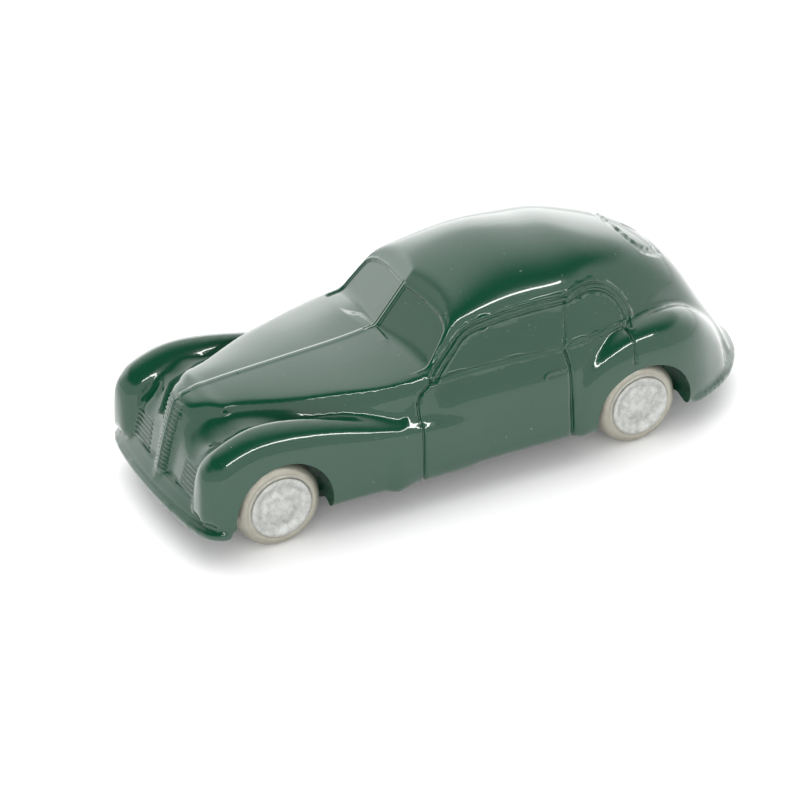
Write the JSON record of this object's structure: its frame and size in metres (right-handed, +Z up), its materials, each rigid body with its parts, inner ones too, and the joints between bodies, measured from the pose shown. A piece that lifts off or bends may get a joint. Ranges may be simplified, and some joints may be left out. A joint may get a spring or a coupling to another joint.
{
  "type": "pull back car",
  "caption": "Die-cast model of a 1940s fastback coupe in dark green gloss paint with bare cast-metal wheels and a pull back spring motor round the rear axle.",
  "frame": {"origin": "centre of the car's box, on the ground under the wheels", "axes": "+Z up, the front faces -Y, the car's left side is +X"},
  "size_m": [0.0422, 0.1154, 0.0393],
  "materials": {
    "body_paint": "dark green gloss paint, thick and soft over cast edges",
    "wheel_metal": "bare zinc casting, tumbled, bright and grainy",
    "plate_metal": "satin black paint on a zinc plate",
    "axle_steel": "bright drawn steel",
    "screw_steel": "zinc plated steel",
    "pinion_brass": "turned brass",
    "gear_plastic": "off-white moulded acetal",
    "spring_steel": "blued spring strip",
    "case_plastic": "black moulded plastic, fine grain"
  },
  "bodies": {
    "chassis": {"body_casting": "body_paint", "baseplate": "plate_metal", "base_screws": "screw_steel", "clutch_pin": "axle_steel", "spring_cap": "case_plastic", "motor_housing": "case_plastic", "motor_cover": "case_plastic", "cover_screws": "screw_steel", "motor_screws": "screw_steel"},
    "front_wheelset": {"front_axle": "axle_steel", "front_wheel_left": "wheel_metal", "front_wheel_right": "wheel_metal"},
    "rear_wheelset": {"rear_axle": "axle_steel", "rear_wheel_left": "wheel_metal", "rear_wheel_right": "wheel_metal", "axle_pinion": "pinion_brass"},
    "clutch": {"clutch_gear": "gear_plastic"},
    "transfer": {"transfer_gear": "gear_plastic"},
    "winder": {"spring_gear": "gear_plastic", "spring_arbor": "axle_steel", "mainspring": "spring_steel"}
  },
  "joints": [
    {"name": "front_axle_spin", "type": "hinge", "parent": "chassis", "child": "front_wheelset", "pos_m": [0, -0.0417, 0.00775], "axis": [1, 0, 0], "continuous": true},
    {"name": "rear_axle_spin", "type": "hinge", "parent": "chassis", "child": "rear_wheelset", "pos_m": [0, 0.0283, 0.00775], "axis": [1, 0, 0], "continuous": true},
    {"name": "clutch_spin", "type": "hinge", "parent": "chassis", "child": "clutch", "pos_m": [0, 0.02367, 0.01099], "axis": [1, 0, 0], "continuous": true},
    {"name": "transfer_spin", "type": "hinge", "parent": "chassis", "child": "transfer", "pos_m": [0, 0.01502, 0.01283], "axis": [1, 0, 0], "continuous": true},
    {"name": "winding_spin", "type": "hinge", "parent": "chassis", "child": "winder", "pos_m": [0, 0.01898, 0.02029], "axis": [1, 0, 0], "continuous": true}
  ],
  "couplings": [
    {"joint": "clutch_spin", "follows": "rear_axle_spin", "ratio": -0.75},
    {"joint": "transfer_spin", "follows": "rear_axle_spin", "ratio": 0.42857},
    {"joint": "winding_spin", "follows": "rear_axle_spin", "ratio": -0.13393}
  ]
}
